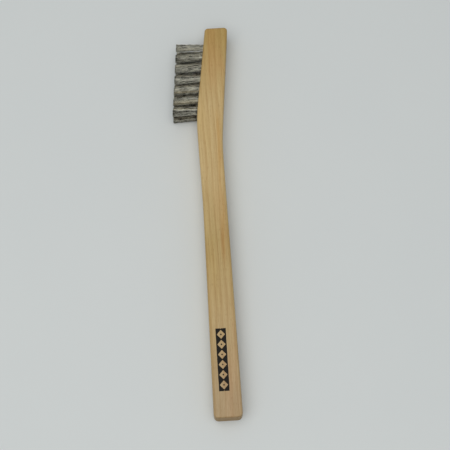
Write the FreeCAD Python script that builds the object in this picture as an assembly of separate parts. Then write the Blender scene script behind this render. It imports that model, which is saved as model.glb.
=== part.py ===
"""Small scratch brush: a bent hardwood handle with stapled tufts of fine stainless wire.

Every size is in millimetres. The brush lies on its side. +Y runs along the grip towards the head,
the bristles point along -X, square to the grip, and +Z is the handle's width. The outline is drawn
from the bend, where the head's centre line leaves the grip's, and each finished piece is moved so
that the origin is at the bottom centre of the whole brush's box.
"""
import FreeCAD, Part
import math
import os
from FreeCAD import Matrix, Vector

# Tuft holes: rows along the head, pitched along the grip. Every second row is staggered: it has one
# hole fewer, each halfway between two of its neighbours'.
rows = 3
columns = 7  # in the outer rows
hole_diameter = 3.0
hole_depth = 8.0  # from the face to the full-diameter end of the hole
drill_point_angle = 118.0
hole_web = 0.8  # wood between one row of holes and the next
side_wall = 1.05  # wood between an outer hole and the side face
column_pitch = 5.65
first_hole_from_end = 9.2
last_hole_to_bend = 5.25

# Handle outline. Depths are across the handle, from the bristle side to the back. Both of its ends
# are cut square to the grip.
grip_length = 142.0
bend_angle = 7.0
head_end_depth = 10.95
bend_depth = 12.8
waist_depth = 11.2
tail_depth = 13.0
waist_from_bend = 41.0
head_corner_radius = 1.6
tail_corner_radius = 2.2
shoulder_radius = 100.0
waist_radius = 400.0
hollow_radius = 180.0
edge_round = 1.1

# Tufts: bundles of wire folded over an anchor, spreading a little towards their trimmed tips.
bundle_clearance = 0.05  # radial, between a bundle and its hole
first_trim = 13.4  # free length of the tufts nearest the head's end
last_trim = 11.8  # free length of the tufts nearest the bend
collar_height = 0.3  # the bundle stays round this far above the high side of its hole
column_gap = 2.4  # between neighbouring tips of one row
row_gap = 0.8  # between tips of neighbouring rows
row_splay = 0.3  # an outer row's tips lean out by this much

# Anchors: flat wire driven across the fold, its ends biting into the walls of the hole.
anchor_thickness = 0.45
anchor_height = 2.0
anchor_bite = 0.3  # into the wood at each end
fold_height = 1.0  # wire between the anchor and the full-diameter end of the hole

# Sizes that follow from the ones above.
hole_radius = hole_diameter / 2
bundle_radius = hole_radius - bundle_clearance
row_pitch = hole_diameter + hole_web
handle_width = (rows - 1) * row_pitch + hole_diameter + 2 * side_wall
head_end_y = first_hole_from_end + (columns - 1) * column_pitch + last_hole_to_bend
head_direction = Vector(math.sin(math.radians(bend_angle)), math.cos(math.radians(bend_angle)), 0)
head_length = head_end_y / head_direction.y
head_side = Vector(head_direction.y, -head_direction.x, 0)  # from the centre line to the head's back
middle_row = (rows - 1) / 2
middle_height = handle_width / 2


def head_point(along, across):
    """A point of the head: along its centre line from the bend, and across towards its back."""
    return head_direction * along + head_side * across


def meeting_point(a, b, c, d):
    """Where the line through a and b crosses the line through c and d."""
    first = b - a
    second = d - c
    share = (c - a).cross(second).z / first.cross(second).z
    return a + first * share


def rounded_outline(corners):
    """A closed wire through (point, radius) corners, each rounded by a tangent arc."""
    arcs = []
    for index, (corner, radius) in enumerate(corners):
        before = corners[index - 1][0]
        after = corners[(index + 1) % len(corners)][0]
        to_before = (before - corner).normalize()
        to_after = (after - corner).normalize()
        half_angle = to_before.getAngle(to_after) / 2
        bisector = (to_before + to_after).normalize()
        reach = radius / math.tan(half_angle)
        crown = corner + bisector * (radius / math.sin(half_angle) - radius)
        arcs.append((corner + to_before * reach, crown, corner + to_after * reach))
    edges = []
    for index, (start, crown, end) in enumerate(arcs):
        edges.append(Part.Arc(start, crown, end).toShape())
        edges.append(Part.makeLine(end, arcs[(index + 1) % len(arcs)][0]))
    return Part.Wire(edges)


# The handle's corners, in order round its side face.
shoulder = head_point(0, -bend_depth / 2)
bend_back = head_point(0, bend_depth / 2)
end_line = (Vector(0, head_end_y, 0), Vector(1, head_end_y, 0))
head_end_front = meeting_point(shoulder, head_point(head_length, -head_end_depth / 2), *end_line)
head_end_back = meeting_point(bend_back, head_point(head_length, head_end_depth / 2), *end_line)
waist_front = Vector(-waist_depth / 2, -waist_from_bend, 0)
waist_back = Vector(waist_depth / 2, -waist_from_bend, 0)
tail_front = Vector(-tail_depth / 2, -grip_length, 0)
tail_back = Vector(tail_depth / 2, -grip_length, 0)
hollow = meeting_point(head_end_back, bend_back, waist_back, tail_back)


def holes_in(row):
    """How many holes a row has."""
    return columns - row % 2


def hole_centre(column, row):
    """The middle of a hole's mouth, on the bristle face."""
    y = head_end_y - first_hole_from_end - (column + (row % 2) / 2) * column_pitch
    share = (y - shoulder.y) / (head_end_front.y - shoulder.y)
    x = shoulder.x + (head_end_front.x - shoulder.x) * share
    return Vector(x, y, middle_height + (row - middle_row) * row_pitch)


def point_height(radius):
    """The height of a drill point's cone whose base has this radius."""
    return radius / math.tan(math.radians(drill_point_angle / 2))


def anchor_box(mouth):
    """The anchor's block, lying along the grip across the hole and centred on it."""
    size_y = hole_diameter + 2 * anchor_bite
    corner = Vector(mouth.x + hole_depth - fold_height - anchor_height, mouth.y - size_y / 2, mouth.z)
    corner.z -= anchor_thickness / 2
    return Part.makeBox(anchor_height, size_y, anchor_thickness, corner)


def make_handle():
    """The handle: an outline extruded to its width, edges rounded, holes and anchor slits cut."""
    outline = rounded_outline([
        (head_end_front, head_corner_radius),
        (head_end_back, head_corner_radius),
        (hollow, hollow_radius),
        (tail_back, tail_corner_radius),
        (tail_front, tail_corner_radius),
        (waist_front, waist_radius),
        (shoulder, shoulder_radius),
    ])
    blank = Part.Face(outline).extrude(Vector(0, 0, handle_width))
    long_edges = [edge for edge in blank.Edges if edge.BoundBox.ZLength < edge_round]
    handle = blank.makeFillet(edge_round, long_edges)
    cuts = []
    for row in range(rows):
        for column in range(holes_in(row)):
            mouth = hole_centre(column, row)
            outside = Vector(mouth.x - hole_depth, mouth.y, mouth.z)
            drilled_end = Vector(mouth.x + hole_depth, mouth.y, mouth.z)
            cuts.append(Part.makeCylinder(hole_radius, 2 * hole_depth, outside, Vector(1, 0, 0)))
            cuts.append(Part.makeCone(hole_radius, 0, point_height(hole_radius), drilled_end, Vector(1, 0, 0)))
            cuts.append(anchor_box(mouth))
    return handle.cut(cuts).removeSplitter()


# The trim plane, through the middle of the first and last tips of an outer row.
first_mouth = hole_centre(0, 0)
last_mouth = hole_centre(columns - 1, 0)
first_tip_x = first_mouth.x - first_trim
last_tip_x = last_mouth.x - last_trim
trim_slope = (last_tip_x - first_tip_x) / (last_mouth.y - first_mouth.y)


def make_tuft(column, row):
    """One bundle: its folded root in the hole, slotted for the anchor, and its spreading free end."""
    mouth = hole_centre(column, row)
    outwards = row - middle_row
    lip = bundle_radius * abs(head_direction.x / head_direction.y)
    collar_x = mouth.x - lip - collar_height
    tip_x = first_tip_x + trim_slope * (mouth.y - first_mouth.y)
    spread_y = (column_pitch - column_gap) / 2 / bundle_radius
    spread_z = (row_pitch + row_splay - row_gap) / 2 / bundle_radius

    collar = Vector(collar_x, mouth.y, mouth.z)
    root_end = Vector(mouth.x + hole_depth, mouth.y, mouth.z)
    root = Part.makeCylinder(bundle_radius, root_end.x - collar_x, collar, Vector(1, 0, 0))
    fold = Part.makeCone(bundle_radius, 0, point_height(bundle_radius), root_end, Vector(1, 0, 0))

    ring = Part.Wire(Part.makeCircle(bundle_radius, Vector(0, 0, 0), Vector(1, 0, 0)))
    spread = Matrix(
        1, trim_slope * spread_y, 0, tip_x,
        0, spread_y, 0, mouth.y,
        0, 0, spread_z, mouth.z + outwards * row_splay,
        0, 0, 0, 1,
    )
    free_end = Part.makeLoft([ring.translated(collar), ring.transformGeometry(spread)], True, True)
    return root.fuse([fold, free_end]).removeSplitter().cut(anchor_box(mouth))


def make_pieces():
    """Every piece by its node name, still drawn from the bend."""
    pieces = {"handle": make_handle()}
    for row in range(rows):
        for column in range(holes_in(row)):
            place = f"row{row + 1}_col{column + 1}"
            pieces[f"tuft_{place}"] = make_tuft(column, row)
            pieces[f"anchor_{place}"] = anchor_box(hole_centre(column, row))
    return pieces


pieces = make_pieces()
whole_box = Part.makeCompound(list(pieces.values())).optimalBoundingBox()
to_origin = Vector(-whole_box.Center.x, -whole_box.Center.y, -whole_box.ZMin)

os.makedirs("parts", exist_ok=True)
for name, piece in pieces.items():
    piece.translated(to_origin).exportStep(f"parts/{name}.step")

print(f"{len(pieces)} pieces, {whole_box.XLength:.2f} x {whole_box.YLength:.2f} x {whole_box.ZLength:.2f} mm")
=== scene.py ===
"""Looks of a small wooden-handled scratch brush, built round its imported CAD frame.

The handle keeps its CAD shape and gets a pale hardwood finish. Each CAD tuft is replaced by a
bundle of crimped steel hairpins, folded under the tuft's anchor. Lengths are in metres.
"""
import logging
import math
from dataclasses import dataclass, field
from enum import Enum
from typing import Any

import bpy
import numpy as np
from mathutils import Matrix, Vector


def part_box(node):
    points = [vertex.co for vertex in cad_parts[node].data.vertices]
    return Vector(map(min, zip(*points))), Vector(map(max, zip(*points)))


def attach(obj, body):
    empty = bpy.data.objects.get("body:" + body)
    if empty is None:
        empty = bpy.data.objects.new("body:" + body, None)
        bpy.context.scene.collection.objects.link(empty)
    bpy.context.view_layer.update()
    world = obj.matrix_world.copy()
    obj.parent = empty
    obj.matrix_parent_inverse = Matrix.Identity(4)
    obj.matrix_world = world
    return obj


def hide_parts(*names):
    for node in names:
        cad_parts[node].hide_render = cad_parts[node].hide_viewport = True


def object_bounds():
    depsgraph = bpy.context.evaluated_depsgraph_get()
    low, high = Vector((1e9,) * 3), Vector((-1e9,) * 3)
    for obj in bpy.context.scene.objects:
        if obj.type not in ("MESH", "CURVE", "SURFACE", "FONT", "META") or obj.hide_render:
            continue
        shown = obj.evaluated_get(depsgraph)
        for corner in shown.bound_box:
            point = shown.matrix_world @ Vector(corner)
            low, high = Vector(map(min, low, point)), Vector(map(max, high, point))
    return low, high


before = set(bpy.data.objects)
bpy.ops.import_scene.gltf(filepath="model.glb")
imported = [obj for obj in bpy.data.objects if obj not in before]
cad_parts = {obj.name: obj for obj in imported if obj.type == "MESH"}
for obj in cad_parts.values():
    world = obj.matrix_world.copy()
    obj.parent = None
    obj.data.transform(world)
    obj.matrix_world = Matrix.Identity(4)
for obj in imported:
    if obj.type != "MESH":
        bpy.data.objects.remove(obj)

MM = 0.001
CAD_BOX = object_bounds()
BODY = "root"
COLUMNS = 7

Colour = tuple[float, float, float, float]
Point = tuple[float, float, float]

log = logging.getLogger("scratch_brush")


# ---------------------------------------------------------------- shader expressions


class Signal:
    """A shader value that takes part in Python expressions, each adding its Math nodes."""

    def __init__(self, graph: "Graph", socket: bpy.types.NodeSocket) -> None:
        """Wraps one output socket.

        Args:
            graph: the material's graph, which makes the nodes.
            socket: the output that carries the value.
        """
        self.graph = graph
        self.socket = socket

    def math(self, operation: str, *others: Any) -> "Signal":
        """This value and others through one Math node.

        Args:
            operation: the Math node's operation.
            others: further values, numbers or signals.

        Returns:
            The node's result.
        """
        inputs = dict(enumerate((self, *others)))
        return self.graph.add("ShaderNodeMath", {"operation": operation}, inputs)[0]

    def __add__(self, other: Any) -> "Signal":
        """self + other."""
        return self.math("ADD", other)

    def __radd__(self, other: Any) -> "Signal":
        """other + self."""
        return self.math("ADD", other)

    def __sub__(self, other: Any) -> "Signal":
        """self - other."""
        return self.math("SUBTRACT", other)

    def __rsub__(self, other: Any) -> "Signal":
        """other - self."""
        return self.math("MULTIPLY_ADD", -1.0, other)

    def __mul__(self, other: Any) -> "Signal":
        """self * other."""
        return self.math("MULTIPLY", other)

    def __rmul__(self, other: Any) -> "Signal":
        """other * self."""
        return self.math("MULTIPLY", other)

    def __truediv__(self, other: Any) -> "Signal":
        """self / other."""
        return self.math("DIVIDE", other)

    def __pow__(self, other: Any) -> "Signal":
        """self to the power of other."""
        return self.math("POWER", other)

    def __abs__(self) -> "Signal":
        """The value without its sign."""
        return self.math("ABSOLUTE")

    def over(self, low: float, high: float) -> "Signal":
        """A smooth step.

        Args:
            low: the value at which the step is 0.
            high: the value at which it is 1, which may be under low.

        Returns:
            The step, from 0 to 1.
        """
        limits = {"Value": self, "From Min": low, "From Max": high}
        return self.graph.add("ShaderNodeMapRange", {"interpolation_type": "SMOOTHSTEP"}, limits)[0]


class Graph:
    """One material's nodes, ending in a Principled shader."""

    def __init__(self, name: str) -> None:
        """Starts a material.

        Args:
            name: the material's name.
        """
        self.material = bpy.data.materials.new(name)
        self.material.use_nodes = True
        self.tree = self.material.node_tree
        self.shader = self.tree.nodes["Principled BSDF"]

    def add(self, kind: str, settings: dict[str, Any] | None = None,
            inputs: dict[Any, Any] | None = None) -> list[Signal]:
        """Adds one node.

        Args:
            kind: the node's type.
            settings: its properties, set first; "stops" holds a ramp's (place, colour) pairs.
            inputs: values or signals by socket name or number.

        Returns:
            Its outputs as signals.
        """
        node = self.tree.nodes.new(kind)
        for key, value in (settings or {}).items():
            if key == "stops":
                self.set_stops(node.color_ramp, value)
            else:
                setattr(node, key, value)
        for key, value in (inputs or {}).items():
            self.feed(node.inputs[key], value)
        return [Signal(self, socket) for socket in node.outputs]

    def feed(self, socket: bpy.types.NodeSocket, value: Any) -> None:
        """Links a signal to a socket, or sets the socket's own value.

        Args:
            socket: the input.
            value: a signal, number, colour or vector.
        """
        if isinstance(value, Signal):
            self.tree.links.new(value.socket, socket)
        else:
            socket.default_value = value

    @staticmethod
    def set_stops(ramp: bpy.types.ColorRamp, stops: list[tuple[float, Colour]]) -> None:
        """Gives a ramp its stops.

        Args:
            ramp: a colour ramp with two stops.
            stops: (place, colour) pairs in order.
        """
        for _ in stops[2:]:
            ramp.elements.new(1.0)
        for element, (place, colour) in zip(ramp.elements, stops):
            element.position = place
            element.color = colour

    def place(self) -> Signal:
        """The point being shaded, in Object coordinates."""
        return self.add("ShaderNodeTexCoord")[3]

    def facing(self) -> Signal:
        """The surface's own normal, in object space."""
        return self.add("ShaderNodeTexCoord")[1]

    def split(self, vector: Signal) -> tuple[Signal, Signal, Signal]:
        """The three parts of a vector."""
        x, y, z = self.add("ShaderNodeSeparateXYZ", None, {0: vector})
        return x, y, z

    def noise(self, place: Signal, scale: Point, detail: float = 3.0,
              roughness: float = 0.5, distortion: float = 0.0) -> Signal:
        """Noise whose features may be stretched.

        Args:
            place: the coordinates.
            scale: features per metre along X, Y and Z.
            detail: octaves.
            roughness: the share of the finer octaves.
            distortion: how far the pattern is pulled about.

        Returns:
            A value round 0.5.
        """
        stretched = self.add("ShaderNodeVectorMath", {"operation": "MULTIPLY"}, {0: place, 1: scale})[0]
        inputs = {"Vector": stretched, "Scale": 1.0, "Detail": detail,
                  "Roughness": roughness, "Distortion": distortion}
        return self.add("ShaderNodeTexNoise", None, inputs)[0]

    def mix(self, share: Any, first: Any, second: Any, blend: str = "MIX") -> Signal:
        """Two colours mixed.

        Args:
            share: how much of the second, from 0 to 1.
            first: a colour.
            second: a colour.
            blend: the Mix node's blend type.

        Returns:
            The mixed colour.
        """
        settings = {"data_type": "RGBA", "blend_type": blend}
        return self.add("ShaderNodeMix", settings, {0: share, 6: first, 7: second})[2]

    def bump(self, height: Signal, distance: float, strength: float = 1.0) -> Signal:
        """A bump from a height between 0 and 1, distance being its real depth."""
        return self.add("ShaderNodeBump", None, {"Height": height, "Distance": distance,
                                                 "Strength": strength})[0]

    def finish(self, sockets: dict[str, Any]) -> bpy.types.Material:
        """Feeds the shader and returns the material.

        Args:
            sockets: values or signals for the Principled shader, by socket name.

        Returns:
            The finished material.
        """
        for name, value in sockets.items():
            self.feed(self.shader.inputs[name], value)
        return self.material


def tint(red: float, green: float, blue: float) -> Colour:
    """A colour as a socket takes it."""
    return red, green, blue, 1.0


# ---------------------------------------------------------------- finishes


@dataclass(frozen=True)
class InkMark:
    """A plain stamped panel of diamonds in black ink, on the side of the grip."""

    centre_from_tail: float = 26.0 * MM
    centre_from_bristle_side: float = 5.4 * MM
    length: float = 28.4 * MM
    height: float = 4.7 * MM
    line: float = 0.5 * MM
    diamonds: int = 6
    dot_inset: float = 0.30
    ragged: float = 0.12 * MM
    blur: float = 0.05 * MM
    colour: Colour = tint(0.006, 0.004, 0.001)

    def coverage(self, graph: Graph, place: Signal, facing: Signal) -> Signal:
        """Where the ink is.

        Args:
            graph: the wood's graph.
            place: Object coordinates.
            facing: the object-space normal.

        Returns:
            1 on the ink and 0 off it.
        """
        low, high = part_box("handle")
        centre = (low.x + self.centre_from_bristle_side, low.y + self.centre_from_tail, 0.0)
        away = {0: place, 1: centre}
        from_centre = graph.add("ShaderNodeVectorMath", {"operation": "SUBTRACT"}, away)[0]
        across, along, _ = graph.split(from_centre)
        _, _, up = graph.split(facing)
        fibre = graph.noise(place, (3200, 500, 3200), 2.0)
        bleed = (fibre - 0.5) * (2 * self.ragged)
        from_edge = (abs(across) - self.height / 2).math("MAXIMUM", abs(along) - self.length / 2)
        panel = (from_edge + bleed).over(self.blur, -self.blur)
        pitch = (self.length - 2 * self.line) / self.diamonds
        from_first = along + (self.length / 2 - self.line)
        step = abs(from_first.math("PINGPONG", pitch / 2) - pitch / 2)
        half_diamond = self.height / 2 - self.line
        steepness = half_diamond / (pitch / 2 - self.line / 2)
        diamond = abs(across) + step * steepness - half_diamond
        bare = (diamond + bleed).over(self.blur, -self.blur)
        dot = (diamond + self.height * self.dot_inset + bleed).over(self.blur, -self.blur)
        printed = graph.noise(place, (900, 300, 900), 4.0, 0.7).over(0.24, 0.34)
        return panel * (1 - bare * (1 - dot)) * printed * up.over(0.6, 0.9)


@dataclass(frozen=True)
class PaleHardwood:
    """Sanded pale hardwood, its fibres along +Y, thinly sealed."""

    name: str = "pale_hardwood"
    head_colour: Colour = tint(0.515, 0.362, 0.127)
    neck_colour: Colour = tint(0.665, 0.495, 0.238)
    waist_colour: Colour = tint(0.535, 0.390, 0.160)
    grip_colour: Colour = tint(0.582, 0.427, 0.203)
    tail_colour: Colour = tint(0.502, 0.372, 0.206)
    ring_spacing: float = 2.3 * MM
    pith_x: float = -26.0 * MM
    pith_z: float = 31.0 * MM
    mark: InkMark = field(default_factory=InkMark)

    def along_the_length(self, graph: Graph, y: Signal) -> Signal:
        """The wood's broad colour from tail to head.

        Args:
            graph: the wood's graph.
            y: Object Y.

        Returns:
            The colour.
        """
        low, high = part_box("handle")
        share = (y - low.y) / (high.y - low.y)
        stops = [(0.04, self.tail_colour), (0.26, self.grip_colour), (0.43, self.waist_colour),
                 (0.60, self.neck_colour), (0.78, self.neck_colour), (0.97, self.head_colour)]
        return graph.add("ShaderNodeValToRGB", {"stops": stops}, {0: share})[0]

    def streak(self, graph: Graph, x: Signal, y: Signal, place: Signal) -> Signal:
        """Where a brown mineral streak runs, down the back half of the neck.

        Args:
            graph: the wood's graph.
            x: Object X.
            y: Object Y.
            place: Object coordinates.

        Returns:
            1 in the middle of the streak and 0 outside it.
        """
        sway = graph.noise(place, (8, 22, 8), 2.0) - 0.5
        line = abs(x - y * 0.012 - 6.4 * MM + sway * (2.5 * MM))
        ends = abs(y - 13.0 * MM).over(44.0 * MM, 30.0 * MM)
        broken = graph.noise(place, (700, 40, 700), 3.0).over(0.30, 0.62)
        return line.over(1.5 * MM, 0.2 * MM) * ends * broken

    def material(self) -> bpy.types.Material:
        """Builds the material.

        Returns:
            The wood, with its ink mark.
        """
        graph = Graph(self.name)
        place = graph.place()
        facing = graph.facing()
        x, y, z = graph.split(place)
        _, end_on, _ = graph.split(facing)
        end_grain = abs(end_on).over(0.45, 0.8)

        wander = graph.noise(place, (55, 9, 55), 2.0) - 0.5
        from_pith_x = x - self.pith_x
        from_pith_z = z - self.pith_z
        radius = (from_pith_x * from_pith_x + from_pith_z * from_pith_z) ** 0.5 + wander * (5.0 * MM)
        phase = radius * (1 / self.ring_spacing)
        ring = phase.math("FRACT")
        late_wood = ring.over(0.45, 0.93) * ring.over(1.0, 0.95)

        fibre = graph.noise(place, (2300, 60, 2300), 4.0, 0.65)
        fine = graph.noise(place, (6500, 190, 6500), 2.0)
        cloud = graph.noise(place, (90, 16, 90), 3.0)
        fleck = graph.noise(place, (2600, 380, 1500), 1.0).over(0.66, 0.74)
        pore = graph.noise(place, (5200, 420, 5200), 0.0).over(0.70, 0.76)

        colour = self.along_the_length(graph, y)
        colour = graph.mix(late_wood * 0.36, colour, tint(0.74, 0.60, 0.45), "MULTIPLY")
        colour = graph.mix(fibre.over(0.35, 0.68) * 0.42, colour, tint(0.72, 0.60, 0.46), "MULTIPLY")
        colour = graph.mix(fine.over(0.40, 0.70) * 0.24, colour, tint(0.70, 0.60, 0.48), "MULTIPLY")
        colour = graph.mix(cloud.over(0.48, 0.70) * 0.65, colour, tint(1.05, 0.90, 0.86), "MULTIPLY")
        colour = graph.mix(cloud.over(0.50, 0.30) * 0.5, colour, tint(1.02, 0.98, 0.80), "MULTIPLY")
        streak = self.streak(graph, x, y, place)
        colour = graph.mix(streak * 0.5, colour, tint(0.88, 0.66, 0.38), "MULTIPLY")
        colour = graph.mix(fleck * 0.30, colour, tint(0.62, 0.44, 0.30), "MULTIPLY")
        colour = graph.mix(pore * 0.35, colour, tint(0.55, 0.42, 0.30), "MULTIPLY")
        colour = graph.mix(end_grain * 0.55, colour, tint(0.62, 0.55, 0.44), "MULTIPLY")

        ink = self.mark.coverage(graph, place, facing)
        colour = graph.mix(ink, colour, self.mark.colour)
        height = fibre * 0.55 + fine * 0.35 - pore * 0.6 - late_wood * 0.1
        return graph.finish({
            "Base Color": colour,
            "Roughness": 0.46 + fibre * 0.16 + end_grain * 0.18 + ink * 0.10,
            "Coat Weight": 0.12 - end_grain * 0.08 - ink * 0.12,
            "Coat Roughness": 0.32,
            "Specular IOR Level": 0.25,
            "Normal": graph.bump(height, 0.035 * MM, 0.6),
        })


@dataclass(frozen=True)
class StainlessWire:
    """Fine stainless wire, a little different in tone from strand to strand, with lighter and darker patches
    along it that are partly wear and partly painted glints.
    """

    name: str = "stainless_wire"
    dark: Colour = tint(0.045, 0.043, 0.034)
    light: Colour = tint(0.625, 0.62, 0.53)
    straw: Colour = tint(0.85, 0.72, 0.50)
    roughness: float = 0.30

    def material(self) -> bpy.types.Material:
        """Builds the material.

        Returns:
            The wire's steel.
        """
        graph = Graph(self.name)
        tone = graph.add("ShaderNodeAttribute", {"attribute_name": "tone"})[2]
        warmth = graph.add("ShaderNodeAttribute", {"attribute_name": "warmth"})[2]
        place = graph.place()
        drawn = graph.noise(place, (900, 7000, 7000), 2.0)
        # Patches stretched along the wires, lighter and darker: partly wear, partly painted glints and dark
        # spots standing in for light glancing off the crimps.
        wear_and_painted_glints = graph.noise(place, (320, 2600, 2600), 2.0, 0.6).over(0.38, 0.60)
        # Half of each wire's brightness comes from these patches of wear and painted glints.
        brightness = (tone * 0.5 + wear_and_painted_glints * 0.5).over(0.15, 0.85)
        colour = graph.mix(brightness, self.dark, self.light)
        colour = graph.mix(warmth * 0.6, colour, self.straw, "MULTIPLY")
        return graph.finish({
            "Base Color": colour,
            "Metallic": 1.0,
            "Roughness": self.roughness + drawn * 0.14,
        })


@dataclass(frozen=True)
class AnchorSteel:
    """Flat-rolled wire, cut to length."""

    name: str = "anchor_steel"
    colour: Colour = tint(0.55, 0.55, 0.52)
    scored: Colour = tint(0.32, 0.31, 0.29)

    def material(self) -> bpy.types.Material:
        """Builds the material.

        Returns:
            The anchor's steel.
        """
        graph = Graph(self.name)
        rolled = graph.noise(graph.place(), (9000, 500, 9000), 3.0, 0.6)
        colour = graph.mix(rolled.over(0.45, 0.75), self.colour, self.scored)
        return graph.finish({
            "Base Color": colour,
            "Metallic": 1.0,
            "Roughness": 0.28 + rolled * 0.2,
            "Normal": graph.bump(rolled, 0.01 * MM),
        })


@dataclass(frozen=True)
class Tabletop:
    """A plain pale floor."""

    name: str = "pale_floor"
    colour: Colour = tint(0.735, 0.765, 0.757)
    darker: Colour = tint(0.70, 0.735, 0.735)

    def material(self) -> bpy.types.Material:
        """Builds the material.

        Returns:
            The floor's finish.
        """
        graph = Graph(self.name)
        mottle = graph.noise(graph.place(), (14, 14, 14), 4.0, 0.6)
        colour = graph.mix(mottle.over(0.3, 0.7) * 0.25, self.colour, self.darker)
        return graph.finish({"Base Color": colour, "Roughness": 0.7, "Specular IOR Level": 0.25})


# ---------------------------------------------------------------- pieces


class Row(Enum):
    """The rows of tufts, by the number in their CAD names, from the floor up."""

    LOWER = 1
    MIDDLE = 2
    UPPER = 3

    @property
    def tufts(self) -> int:
        """How many tufts the row has: the middle one's stand between the others', one fewer."""
        return COLUMNS - 1 if self is Row.MIDDLE else COLUMNS


def dress(piece: bpy.types.Object, material: bpy.types.Material) -> None:
    """Gives a piece one material on all its faces."""
    piece.data.materials.clear()
    piece.data.materials.append(material)


@dataclass
class Handle:
    """The bent hardwood handle, whose CAD shape stays."""

    finish: PaleHardwood = field(default_factory=PaleHardwood)

    def build(self) -> bpy.types.Object:
        """Dresses the CAD handle.

        Returns:
            The handle.
        """
        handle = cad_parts["handle"]
        dress(handle, self.finish.material())
        return handle


@dataclass
class Anchors:
    """The flats that hold the tufts, sealed in the head."""

    finish: AnchorSteel = field(default_factory=AnchorSteel)

    def build(self) -> list[bpy.types.Object]:
        """Dresses every anchor.

        Returns:
            The anchors.
        """
        steel = self.finish.material()
        anchors = [node for name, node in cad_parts.items() if name.startswith("anchor_")]
        for anchor in anchors:
            dress(anchor, steel)
        return anchors


@dataclass
class Hairpin:
    """One length of wire folded in half, modelled once as a straight few-sided tube of rings.

    The rings, in order, are a tip, its crimps, the hole's mouth and the anchor's level, then two
    under the anchor, then the same back to the other tip.
    """

    wire_radius: float = 0.08 * MM
    sides: int = 3
    crimps: int = 8

    @property
    def leg_rings(self) -> int:
        """Rings on one leg: a tip, its crimps, the mouth and the anchor's level."""
        return self.crimps + 3

    @property
    def rings(self) -> int:
        """Rings on the whole hairpin."""
        return 2 * self.leg_rings + 2

    def tube(self) -> tuple[np.ndarray, list[tuple[int, ...]]]:
        """Models the straight tube, one unit between rings, and takes its mesh apart.

        Returns:
            Its vertices and its faces.
        """
        bpy.ops.object.select_all(action="DESELECT")
        bpy.ops.mesh.primitive_circle_add(vertices=self.sides, radius=self.wire_radius,
                                          fill_type="NGON")
        bpy.ops.object.mode_set(mode="EDIT")
        bpy.ops.mesh.select_all(action="SELECT")
        for _ in range(self.rings - 1):
            bpy.ops.mesh.extrude_region_move(TRANSFORM_OT_translate={"value": (0.0, 0.0, 1.0)})
        bpy.ops.mesh.select_all(action="SELECT")
        bpy.ops.mesh.normals_make_consistent(inside=False)
        bpy.ops.object.mode_set(mode="OBJECT")
        tube = bpy.context.object
        vertices = np.array([vertex.co[:] for vertex in tube.data.vertices])
        faces = [tuple(face.vertices) for face in tube.data.polygons]
        bpy.data.objects.remove(tube)
        return vertices, faces


@dataclass
class TuftShape:
    """Where one tuft goes, read from its CAD nodes."""

    name: str
    axis_y: float
    axis_z: float
    mouth_x: float
    anchor_low_x: float
    anchor_high_x: float
    anchor_half: float
    tip_x: float
    tip_slope: float
    tip_half_y: float
    tip_half_z: float
    tip_z: float


@dataclass
class Strands:
    """The loose strands that a tuft's wires gather into, a row of each array for each strand."""

    lean: np.ndarray
    phase: np.ndarray
    turn: np.ndarray
    side: np.ndarray
    tone: np.ndarray
    warmth: np.ndarray

    @classmethod
    def draw(cls, rng: np.random.Generator, count: int, lean: float) -> "Strands":
        """Draws a tuft's strands.

        Args:
            rng: the tuft's random draws.
            count: how many strands.
            lean: how far a strand leans at its tips.

        Returns:
            The strands.
        """
        return cls(
            lean=rng.normal(0, lean, (count, 2)),
            phase=rng.random(count),
            turn=rng.uniform(0, 2 * math.pi, count),
            side=rng.integers(0, 2, count),
            tone=rng.uniform(0.15, 0.85, count),
            warmth=rng.random(count) ** 2,
        )


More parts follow.
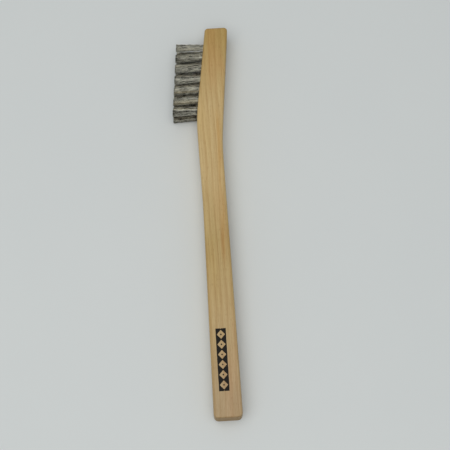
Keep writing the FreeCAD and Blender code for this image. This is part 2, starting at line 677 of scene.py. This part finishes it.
@dataclass
class Tufts:
    """All the tufts: bundles of crimped hairpins, loosely gathered into strands.

    Leans, crimps and spreads are lengths at the tips. A scatter is how much single wires differ.
    """

    finish: StainlessWire = field(default_factory=StainlessWire)
    hairpin: Hairpin = field(default_factory=Hairpin)
    hairpins_per_tuft: int = 130
    strands: int = 12
    hole_depth: float = 8.0 * MM
    bundle_radius: float = 1.45 * MM
    drill_point_angle: float = math.radians(118.0)
    crimp_height: float = 0.14 * MM
    least_crimp: float = 0.6
    most_crimp: float = 1.3
    first_crimp: float = 0.15
    crimp_shift: float = 0.8
    least_end: float = 0.02
    phase_scatter: float = 0.06
    turn_scatter: float = 0.2
    strand_lean: float = 0.16 * MM
    wire_lean: float = 0.10 * MM
    tuft_lean: float = 0.22 * MM
    tuft_lean_across: float = 0.3
    lean_across: float = 0.6
    flare: float = 0.85
    fan: float = 0.25 * MM
    loose: float = 0.28 * MM
    tip_unevenness: float = 0.12 * MM
    tip_overshoot: float = 0.3
    stray_share: float = 0.03
    stray_lean: float = 0.45 * MM
    strand_scatter: float = 0.06
    tone_scatter: float = 0.22
    warmth_scatter: float = 0.10
    packing: float = 0.95
    fold_depth: float = 0.75 * MM
    fold_gather: float = 0.6
    lowest: float = 0.15 * MM
    seed: int = 11

    def shape(self, row: Row, column: int, tip_slope: float) -> TuftShape:
        """Reads one tuft's place from the frame.

        Args:
            row: its row.
            column: its number in the row, from 1 at the head's end.
            tip_slope: how the trim plane's X grows with Y.

        Returns:
            Its shape.
        """
        place = f"row{row.value}_col{column}"
        low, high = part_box(f"tuft_{place}")
        anchor_low, anchor_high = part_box(f"anchor_{place}")
        half_y = (high.y - low.y) / 2
        drill_point = self.bundle_radius / math.tan(self.drill_point_angle / 2)
        axis_z = (anchor_low.z + anchor_high.z) / 2
        tip_z, half_z = self.tip_across(row, low.z, high.z, axis_z)
        return TuftShape(
            name=f"tuft_{place}",
            axis_y=(anchor_low.y + anchor_high.y) / 2,
            axis_z=axis_z,
            mouth_x=high.x - drill_point - self.hole_depth,
            anchor_low_x=anchor_low.x,
            anchor_high_x=anchor_high.x,
            anchor_half=(anchor_high.z - anchor_low.z) / 2,
            tip_x=low.x + abs(tip_slope) * half_y,
            tip_slope=tip_slope,
            tip_half_y=half_y,
            tip_half_z=half_z,
            tip_z=tip_z,
        )

    def tip_across(self, row: Row, low_z: float, high_z: float, axis_z: float) -> tuple[float, float]:
        """The middle and half width of a tuft's tips across the head.

        Args:
            row: the tuft's row.
            low_z: the tuft's lowest Z.
            high_z: its highest Z.
            axis_z: its hole's Z.

        Returns:
            The tips' middle Z and half width.
        """
        middle_low, middle_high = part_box("tuft_row2_col1")
        half = (middle_high.z - middle_low.z) / 2
        if row is Row.UPPER:
            return high_z - half, half
        if row is Row.LOWER:
            return low_z + half, half
        return axis_z, half

    def sunflower(self, count: int) -> np.ndarray:
        """Points spread evenly over a unit disc.

        Args:
            count: how many.

        Returns:
            An array of (y, z) rows.
        """
        number = np.arange(count) + 0.5
        radius = np.sqrt(number / count)
        angle = number * math.pi * (3 - math.sqrt(5))
        return np.stack([radius * np.cos(angle), radius * np.sin(angle)], axis=1)

    def shares(self, phase: np.ndarray) -> np.ndarray:
        """How far out each ring of a leg is, from 1 at the tip to 0 at the hole's mouth.

        Args:
            phase: where each leg's first crimp comes, from 0 to 1.

        Returns:
            An array of legs by rings, short of the anchor's level.
        """
        crimps = self.hairpin.crimps
        share = np.zeros((len(phase), crimps + 2))
        for crimp in range(crimps):
            share[:, crimp + 1] = (crimps - crimp - 1 + self.first_crimp + self.crimp_shift * phase) / crimps
        share[:, 0] = np.maximum(1.0, share[:, 1] + self.least_end)
        return share

    def legs(self, shape: TuftShape, rng: np.random.Generator, roots: np.ndarray,
             tuft_lean: np.ndarray, strands: Strands, owner: np.ndarray) -> np.ndarray:
        """Centre lines of one leg of every hairpin, from the tip to the anchor's level.

        Args:
            shape: the tuft.
            rng: its random draws.
            roots: each leg's (y, z) in the hole, on a unit disc.
            tuft_lean: how far the whole tuft leans at its tips.
            strands: its strands.
            owner: each leg's strand.

        Returns:
            An array of hairpins by rings by XYZ.
        """
        count = len(roots)
        crimps = self.hairpin.crimps
        lean = strands.lean[owner] + rng.normal(0, self.wire_lean, (count, 2)) + tuft_lean
        stray = rng.random(count) < self.stray_share
        lean += stray[:, None] * rng.normal(0, self.stray_lean, (count, 2))
        tip_y = shape.axis_y + roots[:, 0] * (shape.tip_half_y + self.fan) + lean[:, 0]
        tip_z = shape.tip_z + roots[:, 1] * (shape.tip_half_z - self.loose) + lean[:, 1] * self.lean_across
        tip_x = shape.tip_x + shape.tip_slope * (tip_y - shape.axis_y)
        tip_x += np.abs(rng.normal(0, self.tip_unevenness, count)) - self.tip_overshoot * self.tip_unevenness
        root_y = shape.axis_y + roots[:, 0] * (self.bundle_radius - self.hairpin.wire_radius)
        root_z = shape.axis_z + roots[:, 1] * (self.bundle_radius - self.hairpin.wire_radius)

        share = self.shares((strands.phase[owner] + rng.normal(0, self.phase_scatter, count)) % 1.0)
        spread = share ** self.flare
        line = np.zeros((count, self.hairpin.leg_rings, 3))
        line[:, :-1, 0] = shape.mouth_x + (tip_x - shape.mouth_x)[:, None] * np.minimum(share, 1.0)
        line[:, :-1, 1] = root_y[:, None] + (tip_y - root_y)[:, None] * spread
        line[:, :-1, 2] = root_z[:, None] + (tip_z - root_z)[:, None] * spread

        side = np.where((np.arange(crimps) + (strands.side[owner][:, None])) % 2 == 0, 1.0, -1.0)
        height = self.crimp_height * rng.uniform(self.least_crimp, self.most_crimp, (count, crimps)) * side
        turn = strands.turn[owner] + rng.normal(0, self.turn_scatter, count)
        line[:, 1:-2, 1] += height * np.cos(turn)[:, None]
        line[:, 1:-2, 2] += height * np.sin(turn)[:, None]

        beside_anchor = shape.anchor_half + self.hairpin.wire_radius
        room = (self.bundle_radius - beside_anchor) * self.packing
        from_anchor = beside_anchor + np.abs(roots[:, 1]) * room
        line[:, -1, 0] = shape.anchor_low_x
        line[:, -1, 1] = root_y
        line[:, -1, 2] = shape.axis_z + np.sign(roots[:, 1]) * from_anchor
        line[:, :, 2] = np.clip(line[:, :, 2], self.lowest, CAD_BOX[1].z - self.lowest)
        return line

    def fold(self, shape: TuftShape, first: np.ndarray, last: np.ndarray) -> np.ndarray:
        """The rings under the anchor between two legs.

        Args:
            shape: the tuft.
            first: one leg's points at the anchor's level.
            last: the other's.

        Returns:
            An array of hairpins by two rings by XYZ.
        """
        out = (np.abs(first[:, 2] - shape.axis_z) - shape.anchor_half) / self.bundle_radius
        depth = shape.anchor_high_x + self.hairpin.wire_radius + out * self.fold_depth
        under = np.zeros((len(first), 2, 3))
        for ring, leg in enumerate((first, last)):
            under[:, ring, 0] = depth
            under[:, ring, 1] = leg[:, 1]
            under[:, ring, 2] = shape.axis_z + (leg[:, 2] - shape.axis_z) * self.fold_gather
        return under

    def lay(self, tube: np.ndarray, lines: np.ndarray) -> np.ndarray:
        """Copies of the straight tube bent along centre lines.

        Args:
            tube: the tube's vertices, one unit between rings along Z.
            lines: centre lines, hairpins by rings by XYZ.

        Returns:
            Vertices, hairpins by tube vertices by XYZ.
        """
        before = np.concatenate([lines[:, :1], lines[:, :-1]], axis=1)
        after = np.concatenate([lines[:, 1:], lines[:, -1:]], axis=1)
        along = after - before
        along /= np.maximum(np.linalg.norm(along, axis=2, keepdims=True), 1e-9)
        across = np.broadcast_to(np.array([0.0, 1.0, 0.0]), along.shape)
        across = across - along * (across * along).sum(axis=2, keepdims=True)
        across = across / np.linalg.norm(across, axis=2, keepdims=True)
        other = np.cross(along, across)
        ring = np.rint(tube[:, 2]).astype(int)
        return lines[:, ring] + across[:, ring] * tube[None, :, 0:1] + other[:, ring] * tube[None, :, 1:2]

    def bake_map(self, mesh: bpy.types.Mesh, tube: np.ndarray, count: int) -> None:
        """Gives every hairpin its own cell of the map that its colours are kept in.

        Args:
            mesh: the tuft's mesh.
            tube: the tube's vertices.
            count: hairpins in the tuft.
        """
        cells = math.ceil(math.sqrt(count))
        corner_vertices = np.zeros(len(mesh.loops), dtype=np.int64)
        mesh.loops.foreach_get("vertex_index", corner_vertices)
        pin = corner_vertices // len(tube)
        local = corner_vertices % len(tube)
        angle = np.arctan2(tube[local, 1], tube[local, 0]) / (2 * math.pi) + 0.5
        face_of = np.repeat(np.arange(len(mesh.polygons)), [len(face.vertices) for face in mesh.polygons])
        highest = np.zeros(len(mesh.polygons))
        np.maximum.at(highest, face_of, angle)
        angle = angle + (highest[face_of] - angle > 0.5)
        widest = 1 + 1 / self.hairpin.sides + 0.01
        share = np.rint(tube[local, 2]) / (self.hairpin.rings - 1)
        inset = 0.06
        u = (pin % cells + inset + (1 - 2 * inset) * angle / widest) / cells
        v = (pin // cells + inset + (1 - 2 * inset) * share) / cells
        layer = mesh.uv_layers.new(name="OFBake")
        layer.data.foreach_set("uv", np.stack([u, v], axis=1).astype(np.float32).ravel())

    def build_one(self, shape: TuftShape, tube: np.ndarray, faces: list[tuple[int, ...]],
                  steel: bpy.types.Material, rng: np.random.Generator) -> bpy.types.Object:
        """Builds one tuft.

        Args:
            shape: where it goes.
            tube: the straight hairpin's vertices.
            faces: its faces.
            steel: its material.
            rng: its random draws.

        Returns:
            The tuft.
        """
        disc = self.sunflower(2 * self.hairpins_per_tuft)
        upper = disc[disc[:, 1] > 0][:self.hairpins_per_tuft]
        lower = upper * np.array([1.0, -1.0])
        count = len(upper)
        centres = self.sunflower(self.strands)
        strands = Strands.draw(rng, self.strands, self.strand_lean)
        tuft_lean = rng.normal(0, self.tuft_lean, 2) * np.array([1.0, self.tuft_lean_across])
        legs = []
        for roots in (upper, lower):
            gaps = np.linalg.norm(roots[:, None] - centres[None], axis=2)
            owner = (gaps + rng.normal(0, self.strand_scatter, gaps.shape)).argmin(axis=1)
            legs.append(self.legs(shape, rng, roots, tuft_lean, strands, owner))
        fold = self.fold(shape, legs[0][:, -1], legs[1][:, -1])
        vertices = self.lay(tube, np.concatenate([legs[0], fold, legs[1][:, ::-1]], axis=1))

        mesh = bpy.data.meshes.new(shape.name + "_wires")
        step = len(tube)
        all_faces = [
            tuple(corner + pin * step for corner in face)
            for pin in range(count) for face in faces
        ]
        mesh.from_pydata(vertices.reshape(-1, 3).tolist(), [], all_faces)
        mesh.shade_smooth()
        tone = strands.tone[owner] + rng.normal(0, self.tone_scatter, count)
        warmth = strands.warmth[owner] + rng.normal(0, self.warmth_scatter, count)
        for label, values in (("tone", tone), ("warmth", warmth)):
            layer = mesh.attributes.new(label, "FLOAT", "POINT")
            layer.data.foreach_set("value", np.repeat(np.clip(values, 0, 1), step).astype(np.float32))
        self.bake_map(mesh, tube, count)
        piece = bpy.data.objects.new(shape.name + "_wires", mesh)
        bpy.context.scene.collection.objects.link(piece)
        dress(piece, steel)
        return piece

    def build(self) -> list[bpy.types.Object]:
        """Builds every tuft in place of its CAD solid.

        Returns:
            The tufts.
        """
        steel = self.finish.material()
        tube, faces = self.hairpin.tube()
        first_low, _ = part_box("tuft_row1_col1")
        last_low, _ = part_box(f"tuft_row1_col{COLUMNS}")
        slope = (last_low.x - first_low.x) / (last_low.y - first_low.y)
        made = []
        for row in Row:
            for column in range(1, row.tufts + 1):
                shape = self.shape(row, column, slope)
                rng = np.random.default_rng(self.seed + 10 * column + row.value)
                piece = self.build_one(shape, tube, faces, steel, rng)
                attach(piece, BODY)
                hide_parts(shape.name)
                made.append(piece)
        return made


# ---------------------------------------------------------------- studio


@dataclass
class Studio:
    """A pale floor, one large soft lamp overhead, and the camera."""

    floor_size: float = 6.0
    surround_colour: Colour = tint(0.93, 0.97, 1.0)
    surround_strength: float = 0.33
    lamp_place: Point = (-0.16, -0.25, 1.22)
    lamp_size: float = 1.2
    lamp_power: float = 9.6
    lamp_colour: Point = (1.0, 0.985, 0.965)
    aim: Point = (7.334 * MM, -4.38 * MM, 6.0 * MM)
    distance: float = 520.0 * MM
    tilt: float = math.radians(17.0)
    turn: float = math.radians(3.586)
    view_angle: float = math.radians(23.031)
    floor: Tabletop = field(default_factory=Tabletop)

    def build(self) -> None:
        """Makes the floor, the lights and the camera."""
        self.lay_floor()
        self.light()
        self.set_camera()

    def lay_floor(self) -> None:
        """Lays the floor at the brush's lowest point."""
        bpy.ops.object.select_all(action="DESELECT")
        bpy.ops.mesh.primitive_plane_add(size=self.floor_size, location=(0.0, 0.0, CAD_BOX[0].z))
        floor = bpy.context.object
        floor.name = "floor"
        dress(floor, self.floor.material())

    def light(self) -> None:
        """Sets an even pale surround and a large soft lamp overhead, a little towards the tail."""
        world = bpy.data.worlds.new("pale_surround")
        world.use_nodes = True
        background = world.node_tree.nodes["Background"]
        background.inputs["Color"].default_value = self.surround_colour
        background.inputs["Strength"].default_value = self.surround_strength
        bpy.context.scene.world = world
        data = bpy.data.lights.new("window", "AREA")
        data.shape = "SQUARE"
        data.size = self.lamp_size
        data.energy = self.lamp_power
        data.color = self.lamp_colour
        lamp = bpy.data.objects.new("window", data)
        lamp.location = self.lamp_place
        lamp.rotation_euler = (-Vector(self.lamp_place)).to_track_quat("-Z", "Y").to_euler()
        bpy.context.scene.collection.objects.link(lamp)

    def set_camera(self) -> None:
        """Puts the camera over the brush, tilted towards its tail."""
        up = Vector((math.sin(self.turn), math.cos(self.turn), 0.0))
        right = Vector((math.cos(self.turn), -math.sin(self.turn), 0.0))
        back = Vector((0.0, 0.0, 1.0)) * math.cos(self.tilt) - up * math.sin(self.tilt)
        data = bpy.data.cameras.new("camera")
        data.angle = self.view_angle
        camera = bpy.data.objects.new("camera", data)
        axes = Matrix((right, back.cross(right), back)).transposed()
        camera.matrix_world = Matrix.Translation(Vector(self.aim) + back * self.distance) @ axes.to_4x4()
        bpy.context.scene.collection.objects.link(camera)
        bpy.context.scene.camera = camera


def main() -> None:
    """Builds the brush and its studio."""
    logging.basicConfig(level=logging.INFO)
    bpy.context.scene.view_settings.view_transform = "Standard"
    handle = Handle().build()
    log.info("dressed %s", handle.name)
    for anchor in Anchors().build():
        log.info("dressed %s", anchor.name)
    for tuft in Tufts().build():
        log.info("built %s, %d faces", tuft.name, len(tuft.data.polygons))
    Studio().build()
    log.info("set the studio")


if __name__ == "__main__":
    main()
